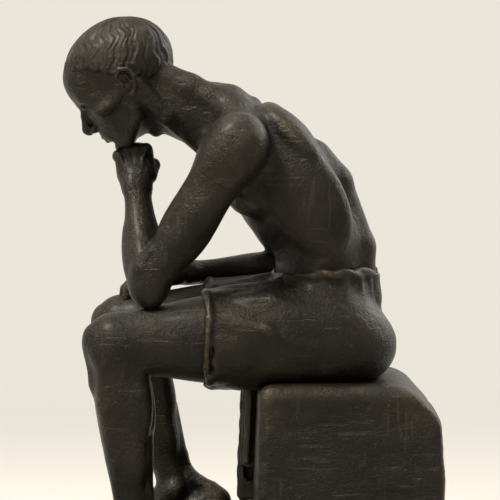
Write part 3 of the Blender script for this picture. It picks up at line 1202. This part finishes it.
places = points_of(rock.data) / MM
free = np.ones(len(places))
CONTACTS = (((0, 30, SEAT_TOP), 40), ((31.9, -52, SLAB_TOP), 24),
            ((-37, -56, SLAB_TOP), 18), ((36, -80, SLAB_TOP), 16))
for centre, radius in CONTACTS:
    away = np.linalg.norm((places - centre) / (1, 1, 0.35), axis=1)
    free = np.minimum(free, np.clip((away - radius) / 32, 0, 1))
behind_folds = np.linalg.norm((places - (0, 4, 76)) / (1, 1, 1.6), axis=1)
free = np.minimum(free, np.clip((behind_folds - 26) / 22, 0, 1))
free = np.minimum(free, np.clip((places[:, 2] - 3) / 5, 0, 1))
group = rock.vertex_groups.new(name="free")
for index, weight in enumerate(free):
    group.add([index], float(weight), "REPLACE")
finish_modifier(rock, "DISPLACE", texture=clouds("dents", 30, 1), strength=2.4 * MM, mid_level=1.0,
                vertex_group="free")
finish_modifier(rock, "DISPLACE", texture=clouds("chisel", 7, 2), strength=0.9 * MM, mid_level=1.0,
                vertex_group="free")
WORN_LOW, WORN_HIGH = (-0.067, -0.1, 0.002), (0.067, 0.1, 0.10278)
places = np.clip(points_of(rock.data), WORN_LOW, WORN_HIGH)
places[:, 2] = np.where((free < 0.5) & (places[:, 2] > 0.019) & (places[:, 2] < 0.0205), 0.02, places[:, 2])
rock.data.vertices.foreach_set("co", places.ravel())
rock.data.update()
bpy.ops.object.shade_smooth()
rock.vertex_groups.clear()
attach(rock, "root")
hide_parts("rock_base")
print("rock faces:", len(rock.data.polygons))

# %% [markdown]
# ## The felt
#
# The pad under the rim is cut from pressed wool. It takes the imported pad's outline and holes, its
# edges go soft, and its nap draws in here and there by a fifth of a millimetre.

# %% The felt pad
packed_pad = frame["nodes"]["felt_pad"]
pick_only(packed_pad)
bpy.ops.object.duplicate()
felt = bpy.context.object
felt.name = "wool_felt_pad"
bpy.ops.object.parent_clear(type="CLEAR_KEEP_TRANSFORM")
felt.data = felt.data.copy()
bpy.ops.object.transform_apply(location=True, rotation=True, scale=True)
bpy.ops.object.mode_set(mode="EDIT")
bpy.ops.mesh.select_all(action="SELECT")
bpy.ops.mesh.remove_doubles(threshold=0.01 * MM)
bpy.ops.object.mode_set(mode="OBJECT")
felt_low, felt_high = points_of(felt.data).min(axis=0), points_of(felt.data).max(axis=0)
FELT_STEP = 1.0
finish_modifier(felt, "REMESH", mode="VOXEL", voxel_size=FELT_STEP * MM)
finish_modifier(felt, "SMOOTH", factor=0.5, iterations=2)
finish_modifier(felt, "DISPLACE", texture=clouds("nap", 1.6, 2), strength=0.22 * MM, mid_level=1.0)
felt.data.vertices.foreach_set("co", np.clip(points_of(felt.data), felt_low, felt_high).ravel())
felt.data.update()
bpy.ops.object.shade_smooth()
felt.data.materials.clear()
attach(felt, "root")
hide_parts("felt_pad")
print("felt faces:", len(felt.data.polygons))

# %% [markdown]
# ## Wear
#
# A patina rubs thin on what sticks out and gathers dirt in what goes in. Each point compares its
# own place with the middle of its neighbours, which tells a ridge from a groove. Two numbers are
# kept with the mesh for the materials to read.

# %% Ridges and grooves
def mark_wear(piece, rounds=8, scale=1.0, seams=()):
    mesh = piece.data
    count = len(mesh.vertices)
    places, normals = points_of(mesh) / MM, np.empty(count * 3)
    mesh.vertex_normals.foreach_get("vector", normals)
    normals = normals.reshape(-1, 3)
    ends = np.empty(len(mesh.edges) * 2, np.int64)
    mesh.edges.foreach_get("vertices", ends)
    ends = ends.reshape(-1, 2)
    number = np.bincount(ends.ravel(), minlength=count).astype(float)
    number[number == 0] = 1

    def spread(values):
        total = np.bincount(ends[:, 0], values[ends[:, 1]], count) + np.bincount(ends[:, 1],
                                                                                 values[ends[:, 0]], count)
        return total / number

    smooth = places.copy()
    for _ in range(rounds):
        smooth = np.stack([spread(smooth[:, i]) for i in range(3)], axis=1)
    ridge = ((places - smooth) * normals).sum(axis=1)
    for _ in range(3):
        ridge = spread(ridge)
    for place, way in seams:
        away = (places - place) @ np.array(way)
        near = np.linalg.norm(places - place, axis=1) < 32
        ridge *= np.where(near, np.clip((np.abs(away) - 0.7) / 1.6, 0, 1), 1)
    for name, values in (("wear", ridge), ("grime", -ridge)):
        attribute = mesh.attributes.new(name, "FLOAT", "POINT")
        attribute.data.foreach_set("value", np.clip(values * scale, 0, 1).astype(np.float32))
    print(piece.name, "most worn:", round(float(ridge.max()), 2), "deepest:", round(float(-ridge.min()), 2))


bronzes = [torso, head, left_arm, right_arm, *legs, cloth]
seam_planes = [SECTION_PLANES["neck"], *SECTION_PLANES["shoulder"].values(), *SECTION_PLANES["hip"].values()]
for piece in bronzes:
    mark_wear(piece, 14, 1.0 if piece in (cloth, head) else 1.5, seam_planes)
mark_wear(rock, 10, 1.6)

# %% [markdown]
# ## Finishes
#
# Materials are sums of masks. One small class lets a mask be written as a Python expression, and one
# method adds any other node.

# %% A workbench for materials
class Value:
    """An output socket that can be added, taken away, multiplied and clamped."""

    def __init__(self, bench, socket):
        self.bench, self.socket = bench, socket

    def maths(self, operation, *others, first=None):
        inputs = [self if first is None else first, *others]
        return self.bench.node("ShaderNodeMath", {"operation": operation}, dict(enumerate(inputs)))

    def __add__(self, other): return self.maths("ADD", other)
    def __radd__(self, other): return self.maths("ADD", other)
    def __sub__(self, other): return self.maths("SUBTRACT", other)
    def __rsub__(self, other): return self.maths("SUBTRACT", self, first=other)
    def __mul__(self, other): return self.maths("MULTIPLY", other)
    def __rmul__(self, other): return self.maths("MULTIPLY", other)
    def clamp(self): return self.bench.node("ShaderNodeClamp", {}, {"Value": self})


class Bench:
    """One material and its nodes."""

    def __init__(self, name):
        self.material = bpy.data.materials.new(name)
        self.material.use_nodes = True
        self.tree = self.material.node_tree
        self.shader = self.tree.nodes["Principled BSDF"]

    def node(self, kind, settings=None, sockets=None, output=0):
        made = self.tree.nodes.new(kind)
        for key, value in (settings or {}).items():
            if key == "stops":
                ramp = made.color_ramp
                while len(ramp.elements) < len(value):
                    ramp.elements.new(0.5)
                for element, (place, colour) in zip(ramp.elements, value):
                    element.position, element.color = place, (*colour, 1) if len(colour) == 3 else colour
            else:
                setattr(made, key, value)
        for key, value in (sockets or {}).items():
            self.set(made.inputs[key], value)
        return Value(self, made.outputs[output])

    def set(self, socket, value):
        if isinstance(value, Value):
            self.tree.links.new(value.socket, socket)
        elif isinstance(value, tuple) and len(value) == 3 and socket.type == "RGBA":
            socket.default_value = (*value, 1)
        else:
            socket.default_value = value

    def surface(self, **sockets):
        for key, value in sockets.items():
            self.set(self.shader.inputs[key.replace("_", " ")], value)

    def place(self):
        return self.node("ShaderNodeTexCoord", output="Object")

    def noise(self, size, detail=3.0, rough=0.5, stretch=None, turn=(0, 0, 0)):
        """Noise whose blobs are about size millimetres across."""
        where = self.place()
        if stretch:
            where = self.node("ShaderNodeMapping", {}, {"Vector": where, "Scale": stretch, "Rotation": turn})
        return self.node("ShaderNodeTexNoise", {}, {"Vector": where, "Scale": 1000 / size,
                                                    "Detail": detail, "Roughness": rough})

    def band(self, value, low, high):
        """0 below low, 1 above high, smooth between."""
        return self.node("ShaderNodeMapRange", {"interpolation_type": "SMOOTHSTEP"},
                         {"Value": value, "From Min": low, "From Max": high})

    def blend(self, share, first, second):
        return self.node("ShaderNodeMix", {"data_type": "RGBA"}, {0: share, 6: first, 7: second}, output=2)

    def bump(self, height, strength, depth):
        return self.node("ShaderNodeBump", {}, {"Height": height, "Strength": strength,
                                                "Distance": depth * MM})


print("bench ready")

# %% [markdown]
# The patina is nearly black with a brown warmth. It is thinner on the high forms, where a warmer
# bronze shows, and matt in the hollows. The wire brush leaves fine streaks, and the casting skin
# leaves pinholes, some of them bright where the brush caught their rims.

# %% Patinated bronze
def patina(name, rough=0.4, pits=1.0, grain=1.0):
    bench = Bench(name)
    wear = bench.node("ShaderNodeAttribute", {"attribute_name": "wear"}, output="Fac")
    grime = bench.node("ShaderNodeAttribute", {"attribute_name": "grime"}, output="Fac")
    broad, middle, fine = bench.noise(34, 3), bench.noise(9, 4, 0.6), bench.noise(2.3, 4, 0.7)
    cluster = bench.band(bench.noise(26, 2), 0.52, 0.62)
    lengthwise = bench.noise(2.4, 1, 0.4, stretch=(1.0, 1.0, 0.13), turn=(0.9, 0.35, 0.2))
    scratch = bench.band(lengthwise, 0.6, 0.68) * cluster
    crossing = bench.noise(2.2, 1, 0.4, stretch=(1.0, 0.12, 1.0), turn=(0.5, 0.1, 0.5))
    scratch = scratch + bench.band(crossing, 0.62, 0.7) * (1 - cluster)
    streak = bench.noise(2.2, 4, 0.65, stretch=(1.0, 1.0, 5.5), turn=(0.5, 0.35, 0.2))
    rubbed = bench.band(wear + (middle - 0.5) * 0.7 + (streak - 0.5) * 0.45, 0.2, 0.95)
    dirty = bench.band(grime + (middle - 0.5) * 0.3, 0.1, 0.6)
    colour = bench.blend(bench.band(broad, 0.35, 0.68), (0.0105, 0.0088, 0.0058), (0.0215, 0.0177, 0.0114))
    colour = bench.blend(bench.band(middle, 0.5, 0.72) * 0.5, colour, (0.023, 0.0205, 0.0145))
    colour = bench.blend(rubbed * 0.65, colour, (0.066, 0.053, 0.036))
    colour = bench.blend(dirty * 0.7, colour, (0.008, 0.0072, 0.006))
    cells = bench.node("ShaderNodeTexVoronoi", {}, {"Vector": bench.place(), "Scale": 1000 / 1.9,
                                                    "Randomness": 1.0})
    where = bench.band(bench.noise(5.0, 2), 0.5, 0.62)
    pit = (1 - bench.band(cells, 0.08, 0.2)) * where * pits
    speck = bench.band(bench.noise(0.55, 1), 0.73, 0.78) * bench.band(streak, 0.45, 0.6)
    colour = bench.blend(pit * 0.8, colour, (0.008, 0.007, 0.006))
    colour = bench.blend(scratch * 0.25, colour, (0.06, 0.05, 0.036))
    colour = bench.blend(speck * 0.7, colour, (0.26, 0.21, 0.15))
    height = streak * 0.8 * grain + fine * 2.3 * grain + middle * 0.8 - pit * 1.8 - scratch * 0.45
    roughness = (rough + (streak - 0.5) * 0.22 + (middle - 0.5) * 0.2 + dirty * 0.22 - rubbed * 0.1).clamp()
    bench.surface(Base_Color=colour, Metallic=(0.48 + rubbed * 0.3 - dirty * 0.3).clamp(),
                  Roughness=roughness,
                  Normal=bench.bump(height, 0.85, 0.42), Coat_Weight=0.06, Coat_Roughness=0.25,
                  Specular_IOR_Level=0.22)
    return bench.material


figure_patina = patina("figure_patina")
rock_patina = patina("rock_patina", rough=0.44, pits=1.3, grain=1.25)
for piece in bronzes:
    piece.data.materials.append(figure_patina)
rock.data.materials.append(rock_patina)

# %% [markdown]
# The hidden metal has finishes of its own: turned bronze pins, plated steel studs and nuts with
# fine turning marks, a rolled steel plate, and a pad of pressed wool felt.

# %% Steel, turned bronze and felt
def turned_metal(name, dark, light, rough, size):
    bench = Bench(name)
    streak = bench.noise(size, 4, 0.6, stretch=(1, 1, 9))
    stain = bench.band(bench.noise(6, 3), 0.45, 0.7)
    colour = bench.blend(streak, dark, light)
    colour = bench.blend(stain * 0.35, colour, tuple(0.55 * part for part in dark))
    bench.surface(Base_Color=colour, Metallic=1.0,
                  Roughness=(rough + (streak - 0.5) * 0.2 + stain * 0.1).clamp(),
                  Normal=bench.bump(streak, 0.4, 0.05))
    return bench.material


def felt_cloth(name):
    bench = Bench(name)
    fibre = bench.noise(0.8, 5, 0.75, stretch=(1, 4, 2), turn=(0, 0, 0.6))
    tuft = bench.noise(3.0, 4, 0.6)
    colour = bench.blend(fibre, (0.012, 0.011, 0.010), (0.055, 0.051, 0.046))
    colour = bench.blend(bench.band(tuft, 0.45, 0.7) * 0.4, colour, (0.03, 0.03, 0.028))
    bench.surface(Base_Color=colour, Roughness=0.95, Normal=bench.bump(fibre + tuft * 0.8, 0.8, 0.4),
                  Sheen_Weight=0.3)
    return bench.material


finishes = {
    "neck_pin": turned_metal("turned_bronze", (0.20, 0.12, 0.05), (0.36, 0.23, 0.10), 0.32, 1.2),
    "seat_studs": turned_metal("plated_steel", (0.34, 0.34, 0.35), (0.52, 0.52, 0.53), 0.3, 0.8),
    "closing_plate": turned_metal("rolled_steel", (0.22, 0.22, 0.23), (0.36, 0.36, 0.37), 0.42, 2.4),
}
same_as = {"neck_pin": ("left_shoulder_pin", "right_shoulder_pin", "left_hip_pin", "right_hip_pin"),
           "seat_studs": ("seat_washers", "seat_nuts", "foot_studs", "foot_washers", "foot_nuts",
                          "plate_screws")}
for first, material in finishes.items():
    for name in (first, *same_as.get(first, ())):
        node = frame["nodes"][name]
        for slot in node.material_slots:
            slot.link = "DATA"
            slot.material = material
        if not node.material_slots:
            node.data.materials.append(material)
felt.data.materials.append(felt_cloth("wool_felt"))
print("finishes:", len(bpy.data.materials))

# %% [markdown]
# ## Floor, light and camera
#
# A pale sweep stands for the table and wall, and the metal mirrors it. A soft window high over the
# figure's front left does most of the work, a weak fill keeps its left side readable, and a strip
# behind draws the edge of the back. The camera looks from the figure's left, level with the chest,
# and crops the feet and the plinth.

# %% Floor and backdrop
BACKDROP = (0.83, 0.79, 0.70)
WARM_WHITE = (1.0, 0.97, 0.92)
ROOM_STRENGTH = 0.12
bpy.ops.object.select_all(action="DESELECT")
bpy.ops.mesh.primitive_plane_add(size=9, location=(0, 0, 0))
floor = bpy.context.object
floor.name = "pale_floor"
floor.data.materials.append(None)
sweep = Bench("pale_sweep")
grain = sweep.noise(60, 3)
tint = sweep.blend(grain * 0.3, (0.66, 0.63, 0.57), (0.70, 0.67, 0.61))
sweep.surface(Base_Color=tint, Roughness=0.9)
far_off = sweep.node("ShaderNodeVectorMath", {"operation": "LENGTH"}, {0: sweep.place()}, output=1)
glow = sweep.node("ShaderNodeEmission", {}, {"Color": BACKDROP, "Strength": 1.0})
RAYS_THAT_SEE = ("Is Camera Ray", "Is Glossy Ray", "Is Transmission Ray")
rays = [sweep.node("ShaderNodeLightPath", output=kind) for kind in RAYS_THAT_SEE]
only_seen = (rays[0] + rays[1] + rays[2]).clamp()
wall = sweep.node("ShaderNodeMixShader", {}, {0: sweep.band(far_off, 0.22, 0.95) * only_seen,
                                              1: Value(sweep, sweep.shader.outputs[0]), 2: glow})
sweep.set(sweep.tree.nodes["Material Output"].inputs["Surface"], wall)
floor.data.materials[0] = sweep.material

world = bpy.data.worlds.new("pale_room")
bpy.context.scene.world = world
world.use_nodes = True
room = world.node_tree
path = room.nodes.new("ShaderNodeLightPath")
mirrored, seen = (room.nodes.new("ShaderNodeMath") for _ in range(2))
mirrored.operation = seen.operation = "MAXIMUM"
room.links.new(path.outputs["Is Glossy Ray"], mirrored.inputs[0])
room.links.new(path.outputs["Is Transmission Ray"], mirrored.inputs[1])
room.links.new(path.outputs["Is Camera Ray"], seen.inputs[0])
room.links.new(mirrored.outputs[0], seen.inputs[1])
shown, lighting = (room.nodes.new("ShaderNodeBackground") for _ in range(2))
choose = room.nodes.new("ShaderNodeMixShader")
shown.inputs[0].default_value = (*BACKDROP, 1)
lighting.inputs[0].default_value = (*WARM_WHITE, 1)
lighting.inputs[1].default_value = ROOM_STRENGTH
room.links.new(seen.outputs[0], choose.inputs[0])
room.links.new(lighting.outputs[0], choose.inputs[1])
room.links.new(shown.outputs[0], choose.inputs[2])
room.links.new(choose.outputs[0], room.nodes["World Output"].inputs[0])


def soft_lamp(name, place, aim, wide, high, power, colour=WARM_WHITE):
    light = bpy.data.lights.new(name, "AREA")
    light.shape, light.size, light.size_y = "RECTANGLE", wide, high
    light.energy, light.color = power, colour
    lamp = bpy.data.objects.new(name, light)
    bpy.context.scene.collection.objects.link(lamp)
    lamp.location = place
    lamp.rotation_euler = (mathutils.Vector(aim) - mathutils.Vector(place)).to_track_quat("-Z",
                                                                                          "Y").to_euler()


soft_lamp("window", (0.36, -0.58, 1.35), (0, 0, 0.17), 0.42, 0.42, 36)
soft_lamp("fill", (1.2, 0.9, 0.6), (0, 0, 0.14), 0.9, 0.9, 0.8)
soft_lamp("back_strip", (-0.7, 0.7, 0.8), (0, 0, 0.17), 0.25, 0.8, 6, (1, 0.98, 0.96))
print("lamps:", len(bpy.data.lights))

# %% The camera
centre = mathutils.Vector((0, 2.25 * MM, 158.9 * MM))
azimuth, elevation, distance = math.radians(90.0), math.radians(3.0), 1.15
sensor_width, picture_width = 36, 0.225
offset = mathutils.Vector((math.sin(azimuth) * math.cos(elevation), -math.cos(azimuth) * math.cos(elevation),
                           math.sin(elevation))) * distance
camera_data = bpy.data.cameras.new("camera")
camera_data.sensor_width = sensor_width
camera_data.lens = sensor_width * distance / picture_width
camera = bpy.data.objects.new("camera", camera_data)
bpy.context.scene.collection.objects.link(camera)
camera.location = centre + offset
camera.rotation_euler = (-offset).to_track_quat("-Z", "Y").to_euler()
bpy.context.scene.camera = camera
bpy.context.scene.view_settings.view_transform = "Standard"
print("camera looks from", [round(part, 3) for part in camera.location])
